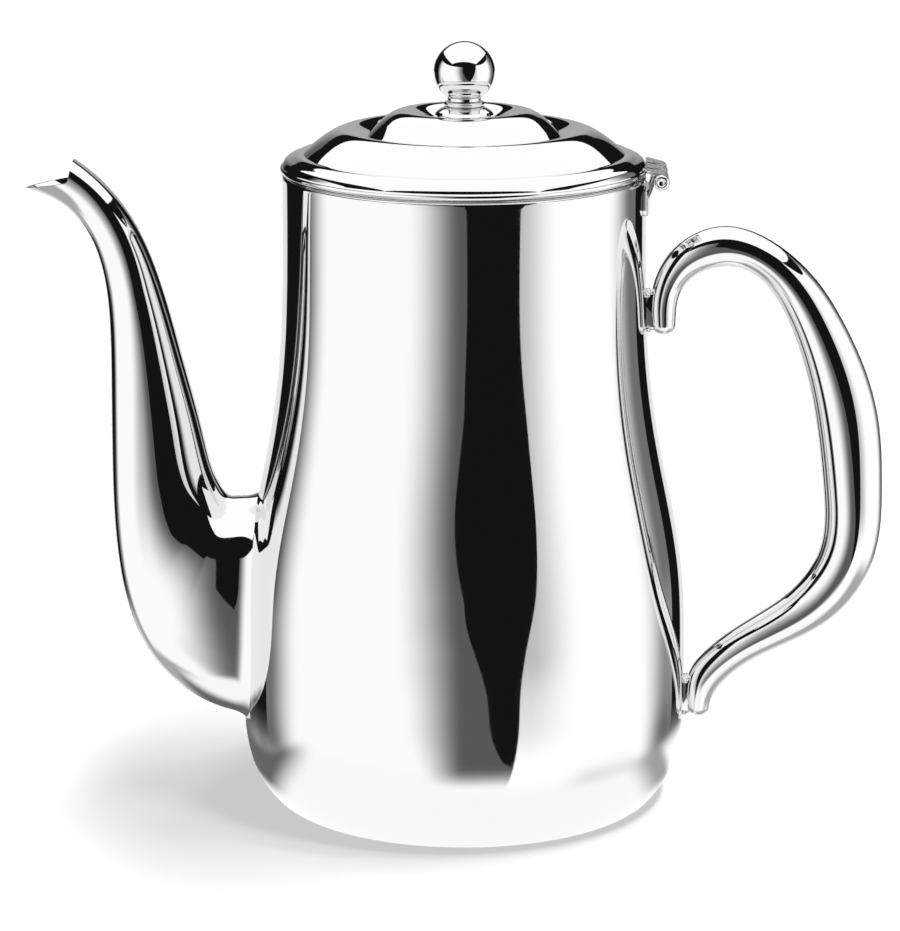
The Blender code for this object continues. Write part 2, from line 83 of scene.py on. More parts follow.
# Strainer holes through the wall behind the spout
HOLE_RADIUS = 0.0026
HOLE_PITCH = 0.0088
HOLE_FIELD = (0.0150, 0.0225)  # half width and half height of the oval field
HOLE_CENTRE_Z = 0.0545
HOLE_SIDES = 48
DRILL_X = (-0.0700, -0.0500)  # where the drills start and end

# Spout stations: under side (x, z), upper side (x, z), half the width in Y
SPOUT_WALL = 0.0009
SPOUT_STATIONS = [(-0.0600, 0.0234, -0.0550, 0.0846, 0.0197),
                  (-0.0724, 0.0275, -0.0628, 0.0843, 0.0204),
                  (-0.0838, 0.0360, -0.0663, 0.0845, 0.0195),
                  (-0.0930, 0.0508, -0.0687, 0.0878, 0.0166),
                  (-0.0974, 0.0708, -0.0710, 0.0937, 0.0137),
                  (-0.0985, 0.0960, -0.0737, 0.1055, 0.0116),
                  (-0.0984, 0.1210, -0.0778, 0.1220, 0.0098),
                  (-0.0992, 0.1430, -0.0838, 0.1440, 0.0079),
                  (-0.1032, 0.1580, -0.0914, 0.1625, 0.0066),
                  (-0.1104, 0.1671, -0.1015, 0.1750, 0.0062),
                  (-0.1226, 0.1724, -0.1160, 0.1850, 0.0064)]
SPOUT_STEPS = 24  # sections between two stations
ROOT_STEP = 8  # the root goes on inwards by this many sections
SPOUT_ROWS = (150, 90)  # rows of the outer and the inner skin
SPOUT_COLUMNS = 160
# How egg-shaped the section is at each station, and what a full egg does to it
SPOUT_EGG = [1.0, 1.0, 1.0, 0.9, 0.7, 0.45, 0.2, 0.0, -0.2, -0.4, -0.4]
EGG_SHIFT = 0.40  # the widest place's shift, as a share of the half height
EGG_SQUARE = 1.8  # added to the exponent, so the fuller half is squarer
MOUTH_TIP = (-0.1208, 0.1719)
MOUTH_CORNER = (-0.1086, 0.1740)
MOUTH_PEAK = (-0.1076, 0.1794)
MOUTH_FILLET = 0.0012
LIP_ROUNDING = 0.15  # how far the lip's middle stays from the inner skin
SPOUT_WELD = 0.0009  # height of the polished weld round the root
WELD_REACH = 0.0036
WELD_MOST = 1.5  # limit of the weld's rise inside the body's wall

# Handle stations: back edge (x, z), front edge (x, z), half the width in Y
HANDLE_STATIONS = [(0.0518, 0.1346, 0.0585, 0.1346, 0.0033),
                   (0.0515, 0.1415, 0.0590, 0.1410, 0.0037),
                   (0.0560, 0.1538, 0.0626, 0.1475, 0.0043),
                   (0.0632, 0.1599, 0.0672, 0.1501, 0.0049),
                   (0.0717, 0.1622, 0.0726, 0.1511, 0.0053),
                   (0.0892, 0.1550, 0.0824, 0.1469, 0.0056),
                   (0.1047, 0.1359, 0.0921, 0.1300, 0.0063),
                   (0.1149, 0.1098, 0.0981, 0.1064, 0.0071),
                   (0.1168, 0.0890, 0.1003, 0.0890, 0.0073),
                   (0.1146, 0.0670, 0.1000, 0.0712, 0.0069),
                   (0.1030, 0.0501, 0.0922, 0.0583, 0.0062),
                   (0.0838, 0.0394, 0.0780, 0.0480, 0.0053),
                   (0.0744, 0.0324, 0.0677, 0.0396, 0.0045),
                   (0.0710, 0.0280, 0.0637, 0.0335, 0.0041),
                   (0.0697, 0.0238, 0.0630, 0.0246, 0.0036)]
HANDLE_CAP = 0.0029  # length of the rounding at each end
HANDLE_STEPS = 16  # sections between two stations
HANDLE_COLUMNS = 96
CAP_ANGLES = (7.5, 88, 12)  # first and last angle of the end's rows, and their number

# Lid outlines, as heights above the rim
LID_WALL = 0.0008
BEAD = 0.0009  # radius of the rolled edge
BEAD_HEIGHT = 0.0013
BEAD_POINTS = 26
BRIM = [(0.0499, 0.0029), (0.0490, 0.0036), (0.0474, 0.0044), (0.0456, 0.0051), (0.0440, 0.0053)]
LOWER_DOME = [(0.0440, 0.0053), (0.0366, 0.0108), (0.0326, 0.0121), (0.0264, 0.0104)]
UPPER_DOME = [(0.0264, 0.0104), (0.0236, 0.0133), (0.0202, 0.0160), (0.0160, 0.0171),
              (0.0115, 0.0160), (0.0075, 0.0140), (0.0022, 0.0139)]
SKIRT_RADIUS = 0.0484
SKIRT_WALL = 0.0007
SKIRT_DROP = 0.0070
SKIRT_FLANGE = (0.0456, 0.0038)  # inner radius and height of its flange
SKIRT_SEGMENTS = 256

# Stud, washer and nut under the lid, as heights above the rim
STUD = (0.0076, 0.0270)
STUD_RADIUS = 0.0015
STUD_HOLE = 0.0016
STUD_BEVEL = 0.0003
THREAD_PITCH = 0.0005
THREAD_DEPTH = 0.0002
THREAD_RISE = 0.3  # share of the pitch from a groove to its crest
WASHER = (0.0120, 0.0128)
WASHER_RADIUS = 0.0045
NUT = (0.0092, 0.0117)
NUT_FLATS = 0.0070
NUT_BEVEL = 0.00035
NUT_ROUNDING = 0.00005
NUT_STEP = 2.5  # degrees
SOFT_EDGE = 0.0002  # rounding of a pressed sheet's edges

# Finial, as heights above the rim
BALL_RADIUS = 0.00838
BALL_HEIGHT = 0.0275
NECK_RADIUS = 0.0046
NECK_BOTTOM = 0.0198
COLLAR_RADIUS = 0.0056
COLLAR = (0.0182, 0.0195)
FOOT_OUTLINE = [(0.0050, 0.0182), (0.0056, 0.0179), (0.0064, 0.0175), (0.0075, 0.0168),
                (0.0081, 0.0160), (0.0083, 0.0152), (0.0083, 0.01455), (0.0080, 0.01425)]
FOOT_FILLET = 0.0006
FINIAL_SEGMENTS = 128

# Hinge: five knuckles on one pin along Y
PIN_RADIUS = 0.0011
EYE_INNER = 0.0012
EYE_OUTER = 0.0022
# Half of a pin head: radius, and height over the knuckles' end
PIN_HEAD = [(0.0, 0.0005), (0.0005, 0.00055), (0.0009, 0.0007), (0.0012, 0.0009),
            (0.0017, 0.00082), (0.0021, 0.0004), (0.0020, 0.0)]
KNUCKLE = 0.00488
FINGER_EDGE = 0.00012
WEB_EDGE = 0.00002
WEB_HALF = 0.6  # in knuckles, so it laps into the fingers beside it
LEAF_THICKNESS = 0.0008
LID_LEAF_START = (0.0500, 0.00255)  # top edge of the plate, x and height above the rim
KNUCKLE_SLOT_X = 0.0518
BODY_LEAF_HALF = 0.0104
BODY_LEAF_Z = (0.1663, 0.1734)
BODY_LEAF_THICKNESS = 0.0010
BODY_LEAF_CORNER = 0.0018
BODY_LEAF_EDGE = 0.0003
BODY_LEAF_ROWS = 49
BODY_LEAF_NECK = [(0.0511, 0.1722), (0.0505, 0.1708), (0.0505, 0.1728)]

# Lugs between body and handle: back x, z from, z to
LUG_HALF_WIDTH = 0.0020
UPPER_LUG = (0.0536, 0.1336, 0.1436)
LOWER_LUG = (0.0650, 0.0228, 0.0324)
LUG_INSET = 0.0004  # depth of a lug's end in the body's side
LUG_EDGE = 0.0005
# Weld beads at a lug's top and bottom: centre from the body's side, and radii
WELDS = [((0.0008, 0.0, 0.0), (0.0014, LUG_HALF_WIDTH, 0.0011)),
         ((0.0004, -0.0013, -0.0003), (0.0010, 0.0012, 0.0010))]
LOW_WELD = 0.75  # height of the bottom beads against the top ones
WELD_RIPPLES = [(0.07, 5, 3), (0.05, -2, 9)]  # depth, waves round the bead, waves along it

STEEL = (0.815, 0.820, 0.820)  # linear reflectance of the bare steel
SHARP_ANGLE = 32.0  # edges over this many degrees are shaded sharp


# ---------------------------------------------------------------- curves
def natural_spline(points, per_span):
    """The natural cubic spline through points, cut into per_span steps between neighbours."""
    points = np.array(points, float)
    steps = np.linalg.norm(np.diff(points, axis=0), axis=1)
    size = len(points)
    system = np.eye(size)
    right = np.zeros_like(points)
    for i in range(1, size - 1):
        before, after = steps[i - 1], steps[i]
        system[i, i - 1:i + 2] = before, 2 * (before + after), after
        right[i] = 6 * ((points[i + 1] - points[i]) / after - (points[i] - points[i - 1]) / before)
    bend = np.linalg.solve(system, right)
    result = [points[0]]
    for i, span in enumerate(steps):
        for k in range(1, per_span + 1):
            left = span * k / per_span
            rest = span - left
            value = (bend[i] * rest ** 3 + bend[i + 1] * left ** 3) / (6 * span)
            value += (points[i] / span - bend[i] * span / 6) * rest
            value += (points[i + 1] / span - bend[i + 1] * span / 6) * left
            result.append(value)
    return np.array(result)


def arc(centre, radii, start, end, count):
    """count points on an ellipse's arc from start to end, in degrees."""
    angles = np.radians(np.linspace(start, end, count))
    return [(centre[0] + radii[0] * math.cos(a), centre[1] + radii[1] * math.sin(a)) for a in angles]


def offset_line(points, distance):
    """An open line of (r, z) points moved to its left by distance."""
    points = np.array(points, float)
    ahead = np.diff(points, axis=0)
    ahead /= np.linalg.norm(ahead, axis=1)[:, None]
    before = np.vstack([ahead[:1], ahead])
    after = np.vstack([ahead, ahead[-1:]])
    normal = before + after
    normal /= np.linalg.norm(normal, axis=1)[:, None]
    return points + distance * np.column_stack([-normal[:, 1], normal[:, 0]])


def rounded(points, radius, steps=6):
    """A line whose inner corners are replaced by arcs of about the given radius."""
    points = [Vector(p) for p in points]
    result = [tuple(points[0])]
    for before, corner, after in zip(points, points[1:], points[2:]):
        back, ahead = (before - corner), (after - corner)
        half = back.angle(ahead) / 2
        cut = min(radius / math.tan(half), 0.45 * back.length, 0.45 * ahead.length)
        start, end = corner + back.normalized() * cut, corner + ahead.normalized() * cut
        for k in range(steps + 1):
            t = k / steps
            result.append(tuple(start * (1 - t) ** 2 + corner * 2 * t * (1 - t) + end * t ** 2))
    result.append(tuple(points[-1]))
    return result


# ---------------------------------------------------------------- meshes
def new_object(name, points, faces, materials, slots=None):
    """A smooth-shaded object in the scene. slots, if given, is each face's material."""
    mesh = bpy.data.meshes.new(name)
    mesh.from_pydata([tuple(p) for p in points], [], faces)
    for material in materials:
        mesh.materials.append(material)
    if slots is not None:
        mesh.polygons.foreach_set("material_index", slots)
    work = bmesh.new()
    work.from_mesh(mesh)
    bmesh.ops.recalc_face_normals(work, faces=work.faces)
    work.to_mesh(mesh)
    work.free()
    mesh.shade_smooth()
    mesh.set_sharp_from_angle(angle=math.radians(SHARP_ANGLE))
    obj = bpy.data.objects.new(name, mesh)
    bpy.context.scene.collection.objects.link(obj)
    return obj


def grid(name, rows, materials, wrap_rows=False, caps=False, slot_of_row=None):
    """A skin over equally long closed rows. caps closes the first and last row with a fan."""
    count = len(rows[0])
    points = [p for row in rows for p in row]
    faces, slots = [], []
    last = len(rows) if wrap_rows else len(rows) - 1
    for i in range(last):
        j = (i + 1) % len(rows)
        for k in range(count):
            m = (k + 1) % count
            faces.append((i * count + k, i * count + m, j * count + m, j * count + k))
            slots.append(slot_of_row(i) if slot_of_row else 0)
    if caps:
        for row, i in ((rows[0], 0), (rows[-1], len(rows) - 1)):
            points.append(np.mean(np.array(row), axis=0))
            for k in range(count):
                faces.append((i * count + k, i * count + (k + 1) % count, len(points) - 1))
                slots.append(slot_of_row(min(i, last - 1)) if slot_of_row else 0)
    return new_object(name, points, faces, materials, slots)


def turned(name, outline, materials, segments=256, closed=True, slot_of_row=None):
    """An outline of (radius, z) turned about Z. An open one starts and ends on the axis."""
    angles = np.linspace(0, 2 * math.pi, segments, endpoint=False)
    circle = np.column_stack([np.cos(angles), np.sin(angles)])
    if closed:
        rows = [[(r * x, r * y, z) for x, y in circle] for r, z in outline]
        return grid(name, rows, materials, wrap_rows=True, slot_of_row=slot_of_row)
    rows = [[(r * x, r * y, z) for x, y in circle] for r, z in outline[1:-1]]
    return grid(name, rows, materials, caps=True, slot_of_row=slot_of_row)


def patch_faces(rows, columns):
    """The faces of an open sheet of rows times columns points."""
    starts = [i * columns + k for i in range(rows - 1) for k in range(columns - 1)]
    return [(c, c + 1, c + 1 + columns, c + columns) for c in starts]


def capped_faces(rows, columns):
    """The faces of a tube of closed rows of points, with one flat face at each end."""
    faces = [tuple(range(columns)), tuple((rows - 1) * columns + k for k in range(columns))]
    for i in range(rows - 1):
        for k in range(columns):
            m = (k + 1) % columns
            faces.append((i * columns + k, i * columns + m, (i + 1) * columns + m, (i + 1) * columns + k))
    return faces


# ---------------------------------------------------------------- materials
def node(tree, kind, **settings):
    """A new node. in_ settings are its inputs' values, the others its own properties."""
    made = tree.nodes.new(kind)
    for key, value in settings.items():
        if key.startswith("in_"):
            made.inputs[key[3:].replace("_", " ")].default_value = value
        else:
            setattr(made, key, value)
    return made


def steel(name, roughness, spread, scratch, stretch=(1.0, 1.0, 1.0), grain=4000.0):
    """Bare steel: haze that varies over the surface, and fine scratches or turning marks.

    roughness is the middle value, spread its variation, scratch the bump's depth in metres, and
    stretch squeezes the scratch pattern along the axis that the marks run across.
    """
    material = bpy.data.materials.new(name)
    material.use_nodes = True
    tree = material.node_tree
    shader = tree.nodes["Principled BSDF"]
    shader.inputs["Base Color"].default_value = (*STEEL, 1.0)
    shader.inputs["Metallic"].default_value = 1.0
    place = node(tree, "ShaderNodeTexCoord")
    haze = node(tree, "ShaderNodeTexNoise", in_Scale=38.0, in_Detail=5.0, in_Roughness=0.6)
    tree.links.new(place.outputs["Object"], haze.inputs["Vector"])
    spots = node(tree, "ShaderNodeTexNoise", in_Scale=900.0, in_Detail=2.0)
    tree.links.new(place.outputs["Object"], spots.inputs["Vector"])
    mixed = node(tree, "ShaderNodeMath", operation="MULTIPLY")
    tree.links.new(haze.outputs["Fac"], mixed.inputs[0])
    tree.links.new(spots.outputs["Fac"], mixed.inputs[1])
    level = node(tree, "ShaderNodeMapRange")
    level.inputs["From Min"].default_value = 0.12
    level.inputs["From Max"].default_value = 0.42
    level.inputs["To Min"].default_value = max(roughness - spread, 0.0)
    level.inputs["To Max"].default_value = roughness + spread
    tree.links.new(mixed.outputs[0], level.inputs["Value"])
    tree.links.new(level.outputs["Result"], shader.inputs["Roughness"])
    squeeze = node(tree, "ShaderNodeMapping")
    squeeze.inputs["Scale"].default_value = stretch
    tree.links.new(place.outputs["Object"], squeeze.inputs["Vector"])
    marks = node(tree, "ShaderNodeTexNoise", in_Scale=grain, in_Detail=3.0, in_Roughness=0.7)
    tree.links.new(squeeze.outputs["Vector"], marks.inputs["Vector"])
    bump = node(tree, "ShaderNodeBump", in_Strength=1.0, in_Distance=scratch)
    tree.links.new(marks.outputs["Fac"], bump.inputs["Height"])
    tree.links.new(bump.outputs["Normal"], shader.inputs["Normal"])
    return material


POLISHED = steel("polished_steel", 0.035, 0.02, 0.0000004)
SATIN = steel("satin_steel", 0.30, 0.08, 0.000004, stretch=(0.06, 0.06, 1.0), grain=2600.0)
PLAIN = steel("plain_steel", 0.36, 0.08, 0.000004, grain=2200.0)


# ---------------------------------------------------------------- body
def body_side():
    """The outer line from the base's opening up to the rim, and the inner one down again."""
    edge = arc((BASE_EDGE_CENTRE, BASE_EDGE), (BASE_EDGE, BASE_EDGE), -90, -56, 8)
    side = [tuple(p) for p in natural_spline(BODY_SIDE, 12)]
    return [(BASE_OPENING, 0.0), (BASE_RING, 0.0)] + edge + side[1:]


def make_body():
    """The drawn body, polished outside and satin inside."""
    outer = body_side()
    inner = [tuple(p) for p in offset_line(outer, BODY_WALL)]
    inner[0] = (BASE_OPENING, BODY_WALL)
    outer = [p for p in outer if p[1] < RIM - RIM_ROLL]
    inner = [p for p in inner if p[1] < RIM - RIM_ROLL / 2]
    roll = arc((RIM_RADIUS - RIM_ROLL, RIM - RIM_ROLL), (RIM_ROLL, RIM_ROLL), 0, 72, 8)
    top = RIM_RADIUS - BODY_WALL
    roll += [(top + RIM_EDGE, RIM), (top, RIM - RIM_EDGE)]
    outline = outer + roll + inner[::-1]
    inside = len(outer) + len(roll) - 1
    body = turned("body_wall", outline, [POLISHED, SATIN], BODY_SEGMENTS,
                  slot_of_row=lambda i: int(i >= inside))
    drill_strainer(body)
    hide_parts("body_shell")
    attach(body, "pot")


def drill_strainer(body):
    """Cut the oval field of round holes behind the spout, in staggered rows."""
    work = bmesh.new()
    reach = math.ceil(HOLE_FIELD[1] / HOLE_PITCH)
    for row in range(-reach, reach + 1):
        rise = row * HOLE_PITCH * math.sqrt(3) / 2
        for column in range(-reach, reach + 1):
            side = (column + 0.5 * (row % 2)) * HOLE_PITCH
            if (side / HOLE_FIELD[0]) ** 2 + (rise / HOLE_FIELD[1]) ** 2 > 1.0:
                continue
            turn = [2 * math.pi * k / HOLE_SIDES for k in range(HOLE_SIDES)]
            circle = [(side + HOLE_RADIUS * math.cos(a), HOLE_CENTRE_Z + rise + HOLE_RADIUS * math.sin(a))
                      for a in turn]
            ends = [[work.verts.new((x, y, z)) for y, z in circle] for x in DRILL_X]
            for ring in ends:
                work.faces.new(ring)
            for k in range(HOLE_SIDES):
                m = (k + 1) % HOLE_SIDES
                work.faces.new((ends[0][k], ends[0][m], ends[1][m], ends[1][k]))
    bmesh.ops.recalc_face_normals(work, faces=work.faces)
    tool_mesh = bpy.data.meshes.new("drills")
    work.to_mesh(tool_mesh)
    work.free()
    tool = bpy.data.objects.new("drills", tool_mesh)
    bpy.context.scene.collection.objects.link(tool)
    cut = body.modifiers.new("holes", "BOOLEAN")
    cut.operation = "DIFFERENCE"
    cut.solver = "EXACT"
    cut.object = tool
    shaped = body.evaluated_get(bpy.context.evaluated_depsgraph_get())
    drilled = bpy.data.meshes.new_from_object(shaped)
    body.modifiers.clear()
    body.data = drilled
    bpy.data.objects.remove(tool)


def make_base():
    """The welded-in disc, with a shallow recess and a turned centre."""
    radius = BASE_OPENING - FIT_GAP
    under = rounded([(radius, BASE_BEVEL), (radius - BASE_BEVEL, 0.0)] + BASE_RECESS, BASE_FILLET)
    outline = [(0.0, BODY_WALL), (radius, BODY_WALL)] + under
    base = turned("base_plate", outline, [SATIN], BASE_SEGMENTS, closed=False)
    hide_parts("base_disc")
    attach(base, "pot")


# ---------------------------------------------------------------- spout
def ring_points(station, wall, count, egg=0.0):
    """A section: under or back edge first, then round by +Y. It is an ellipse when egg is 0.

    A positive egg puts the widest place nearer the under edge and makes that half squarer, and a
    negative one does so at the upper edge.
    """
    back, front = station[0:2], station[2:4]
    centre, reach = (back + front) / 2, (back - front) / 2
    reach = reach * (1 - wall / np.linalg.norm(reach))
    angle = np.linspace(0, 2 * math.pi, count, endpoint=False)
    cosine, sine = np.cos(angle), np.sin(angle)
    middle = EGG_SHIFT * egg
    under_power = 2 / (2 + EGG_SQUARE * max(egg, 0.0))
    upper_power = 2 / (2 + EGG_SQUARE * max(-egg, 0.0))
    power = np.where(cosine > 0, under_power, upper_power)
    half = np.where(cosine > 0, 1 - middle, 1 + middle)
    along = middle + half * np.sign(cosine) * np.abs(cosine) ** power
    across = (station[4] - wall) * np.sign(sine) * np.abs(sine) ** power
    return np.column_stack([centre[0] + reach[0] * along, across, centre[1] + reach[1] * along])


def body_radius_at(heights):
    """The body's outer radius at each height."""
    side = np.array(body_side())
    return np.interp(heights, side[:, 1], side[:, 0])


def mouth_height(x):
    """Height of the mouth's cut at x: a long, nearly level face and a short steep one."""
    tip, corner, peak = np.array(MOUTH_TIP), np.array(MOUTH_CORNER), np.array(MOUTH_PEAK)
    level = corner[1] + (x - corner[0]) * (tip[1] - corner[1]) / (tip[0] - corner[0])
    steep = corner[1] + (x - corner[0]) * (peak[1] - corner[1]) / (peak[0] - corner[0])
    soft = MOUTH_FILLET / 2
    return 0.5 * (level + steep + np.sqrt((level - steep) ** 2 + soft ** 2))


def crossing(values):
    """Where a sampled line first falls below zero, as a fractional index."""
    below = np.nonzero(values < 0)[0]
    i = int(below[0])
    if i == 0:
        return 0.0
    return i - 1 + values[i - 1] / (values[i - 1] - values[i])


def sample(line, at):
    """Points of a sampled line at fractional indices."""
    index = np.arange(len(line))
    return np.column_stack([np.interp(at, index, line[:, a]) for a in range(3)])


def spout_skin(stations, wall, depth, rows, count, weld=0.0):
    """The tube's skin from inside the body's wall to the mouth's cut, as rows of points."""
    last = len(SPOUT_EGG) - 1
    shape = np.interp(np.linspace(0, last, len(stations)), np.arange(last + 1), SPOUT_EGG)
    rings = np.array([ring_points(s, wall, count, e) for s, e in zip(stations, shape)])
    rings = np.concatenate([[2 * rings[0] - rings[ROOT_STEP]], rings])
    clear = np.hypot(rings[:, :, 0], rings[:, :, 1]) - body_radius_at(rings[:, :, 2])
    flare = weld * np.clip(1 - clear / WELD_REACH, 0, WELD_MOST) ** 2
    outward = rings - rings.mean(axis=1)[:, None, :]
    outward /= np.linalg.norm(outward, axis=2)[:, :, None]
    rings = rings + outward * flare[:, :, None]
    columns = []
    for k in range(count):
        line = rings[:, k, :]
        out = np.hypot(line[:, 0], line[:, 1]) - (body_radius_at(line[:, 2]) - depth)
        start = max(len(line) - 1 - crossing(out[::-1]), 0.0)
        over = mouth_height(line[:, 0]) - line[:, 2]
        past = int(start) + crossing(over[int(start):])
        columns.append(sample(line, np.linspace(start, past, rows)))
    return np.array(columns).transpose(1, 0, 2)


def make_spout():
    """The spout's two halves as one tube without a seam."""
    stations = natural_spline(SPOUT_STATIONS, SPOUT_STEPS)
    outer = spout_skin(stations, 0.0, BODY_WALL / 2, SPOUT_ROWS[0], SPOUT_COLUMNS, SPOUT_WELD)
    inner = spout_skin(stations, SPOUT_WALL, BODY_WALL / 2, SPOUT_ROWS[1], SPOUT_COLUMNS)
    lip = 0.5 * (outer[-1] + inner[-1])
    rows = [list(r) for r in outer]
    rows.append(list((1 - LIP_ROUNDING) * lip + LIP_ROUNDING * outer[-1]))
    rows += [list(r) for r in inner[::-1]]
    spout = grid("spout", rows, [POLISHED], wrap_rows=True)
    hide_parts("spout_half_front", "spout_half_back")
    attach(spout, "pot")
    spout.visible_shadow = False


# ---------------------------------------------------------------- handle
def make_handle():
    """The handle's two halves as one tube without a seam, with rounded ends."""
    stations = natural_spline(HANDLE_STATIONS, HANDLE_STEPS)
    rows = [ring_points(s, 0.0, HANDLE_COLUMNS) for s in stations]
    for end, neighbour, at_start in ((stations[0], stations[1], True),
                                     (stations[-1], stations[-2], False)):
        centre = (end[:2] + end[2:4]) / 2
        outward = centre - (neighbour[:2] + neighbour[2:4]) / 2
        outward /= np.linalg.norm(outward)
        for angle in np.radians(np.linspace(*CAP_ANGLES)):
            moved = np.array(end)
            shift = outward * HANDLE_CAP * math.sin(angle)
            moved[:2] = centre + (end[:2] - centre) * math.cos(angle) + shift
            moved[2:4] = centre + (end[2:4] - centre) * math.cos(angle) + shift
            moved[4] = end[4] * math.cos(angle)
            ring = ring_points(moved, 0.0, HANDLE_COLUMNS)
            rows = [ring] + rows if at_start else rows + [ring]
    handle = grid("handle", [list(r) for r in rows], [POLISHED], caps=True)
    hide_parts("handle_half_front", "handle_half_back")
    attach(handle, "pot")
    handle.visible_shadow = False


# ---------------------------------------------------------------- lid
def above_rim(outline):
    """An outline whose heights are measured from the rim, in the pot's own heights."""
    return [(r, RIM + h) for r, h in outline]


def make_lid():
    """The domed cover with its rolled edge, polished outside and satin inside."""
    bead = arc((LID_EDGE - BEAD, BEAD_HEIGHT), (BEAD, BEAD), -150, 70, BEAD_POINTS)
    brim = [tuple(p) for p in natural_spline([bead[-1]] + BRIM[1:], 8)]
    line = bead + brim[1:-1]
    line += [tuple(p) for p in natural_spline(LOWER_DOME, 24)][:-1]
    line += [tuple(p) for p in natural_spline(UPPER_DOME, 14)]
    outer = above_rim(line)
    inner = [tuple(p) for p in offset_line(outer[BEAD_POINTS:], LID_WALL)][:-1:3]
    inner.append((outer[-1][0], outer[-1][1] - LID_WALL))
    outline = outer + inner[::-1]
    edge = len(outer)
    lid = turned("lid_cover", outline, [POLISHED, SATIN], BODY_SEGMENTS,
                 slot_of_row=lambda i: int(i >= edge))
    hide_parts("lid_dome")
    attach(lid, "lid")


def make_finial():
    """The ball on its neck, the collar under it and the foot on the lid."""
    meet = math.degrees(math.asin(NECK_RADIUS / BALL_RADIUS))
    ball = arc((0.0, RIM + BALL_HEIGHT), (BALL_RADIUS, BALL_RADIUS), 90, meet - 90, 72)
    ball += [(NECK_RADIUS, RIM + NECK_BOTTOM), (0.0, RIM + NECK_BOTTOM)]
    middle, half = (COLLAR[0] + COLLAR[1]) / 2, (COLLAR[1] - COLLAR[0]) / 2
    collar = [(0.0, RIM + COLLAR[0])]
    collar += arc((COLLAR_RADIUS - half, RIM + middle), (half, half), -90, 90, 16)
    collar.append((0.0, RIM + COLLAR[1]))
    foot_top = FOOT_OUTLINE[0][1]
    foot = [(0.0, RIM + foot_top)] + above_rim(rounded(FOOT_OUTLINE, FOOT_FILLET))
    foot.append((0.0, foot[-1][1]))
    for name, outline in (("finial_ball", ball), ("finial_collar", collar), ("finial_foot", foot)):
        piece = turned("fine_" + name, outline, [POLISHED], FINIAL_SEGMENTS, closed=False)
        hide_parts(name)
        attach(piece, "lid")


def locating_skirt():
    """The thin ring inside the lid that drops into the body's neck."""
    inside = SKIRT_RADIUS - SKIRT_WALL
    flange, top = SKIRT_FLANGE
    corner = top - (SKIRT_RADIUS - flange) / 2
    hem = -SKIRT_DROP + SOFT_EDGE
    loop = rounded([(SKIRT_RADIUS - SOFT_EDGE / 2, -SKIRT_DROP), (SKIRT_RADIUS, hem),
                    (SKIRT_RADIUS, corner), (flange, top), (flange, top - SKIRT_WALL),
                    (inside, corner - SKIRT_WALL), (inside, hem),
                    (inside + SOFT_EDGE / 2, -SKIRT_DROP)], 2 * SOFT_EDGE)
    return turned("locating_skirt", above_rim(loop), [SATIN], SKIRT_SEGMENTS)


def washer():
    face, back = WASHER
    rim = WASHER_RADIUS - SOFT_EDGE
    ring = rounded([(STUD_HOLE, back), (rim, back), (WASHER_RADIUS, back - SOFT_EDGE),
                    (WASHER_RADIUS, face + SOFT_EDGE), (rim, face), (STUD_HOLE, face)], SOFT_EDGE)
    return turned("washer", above_rim(ring), [PLAIN], 96)


def threaded_stud():
    root = STUD_RADIUS - THREAD_DEPTH
    thread = [(0.0, STUD[0]), (STUD_RADIUS - STUD_BEVEL, STUD[0])]
    for k in range(int((STUD[1] - STUD[0]) / THREAD_PITCH)):
        height = STUD[0] + THREAD_PITCH * (k + 0.5)
        thread += [(root, height - THREAD_RISE * THREAD_PITCH), (STUD_RADIUS, height)]
    thread += [(root, STUD[1]), (0.0, STUD[1])]
    return turned("threaded_stud", above_rim(thread), [PLAIN], 48, closed=False)


def hexagon_nut():
    """Six flats with their corners turned down at both faces, round the stud's hole."""
    low, high = NUT
    flats = NUT_FLATS / 2
    corner = flats / math.cos(math.radians(30))
    turns = np.arange(0, 360, NUT_STEP)
    rows = []
    for limit, height in ((flats, low), (corner, low + NUT_BEVEL), (corner, high - NUT_BEVEL),
                          (flats, high)):
        row = []
        for turn in turns:
            flat = flats / math.cos(math.radians((turn + 30) % 60 - 30))
            reach = min(flat, limit + NUT_ROUNDING)
            row.append((reach * math.cos(math.radians(turn)), reach * math.sin(math.radians(turn)),
                        RIM + height))
        rows.append(row)
    for height in (high, low):
        rows.append([(STUD_HOLE * math.cos(math.radians(turn)), STUD_HOLE * math.sin(math.radians(turn)),
                      RIM + height) for turn in turns])
    return grid("hexagon_nut", rows, [PLAIN], wrap_rows=True)


def make_fixings():
    """The locating skirt inside the lid, and the stud, washer and nut that hold the finial."""
    for piece, name, slot in ((locating_skirt(), "lid_skirt", "satin_steel"),
                              (washer(), "finial_washer", "plain_steel"),
                              (threaded_stud(), "finial_stud", "plain_steel"),
                              (hexagon_nut(), "finial_nut", "plain_steel")):
        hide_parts(name)
        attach(piece, "lid")


# ---------------------------------------------------------------- hinge and lugs
def bar(outline, low, high, edge):
    """The shell of an (x, z) outline drawn out along Y, with its two rims rounded by edge."""
    work = bmesh.new()
    ends = [[work.verts.new((x, y, z)) for x, z in outline] for y in (low, high)]
    caps = [work.faces.new(ring) for ring in ends]
    count = len(outline)
    for k in range(count):
        m = (k + 1) % count
        work.faces.new((ends[0][k], ends[0][m], ends[1][m], ends[1][k]))
    rims = list({e for cap in caps for e in cap.edges})
    bmesh.ops.bevel(work, geom=rims, offset=edge, segments=3, profile=0.5, affect="EDGES")
    mesh = bpy.data.meshes.new("bar")
    work.to_mesh(mesh)
    work.free()
    points = [v.co[:] for v in mesh.vertices]
    faces = [tuple(p.vertices) for p in mesh.polygons]
    bpy.data.meshes.remove(mesh)
    return points, faces


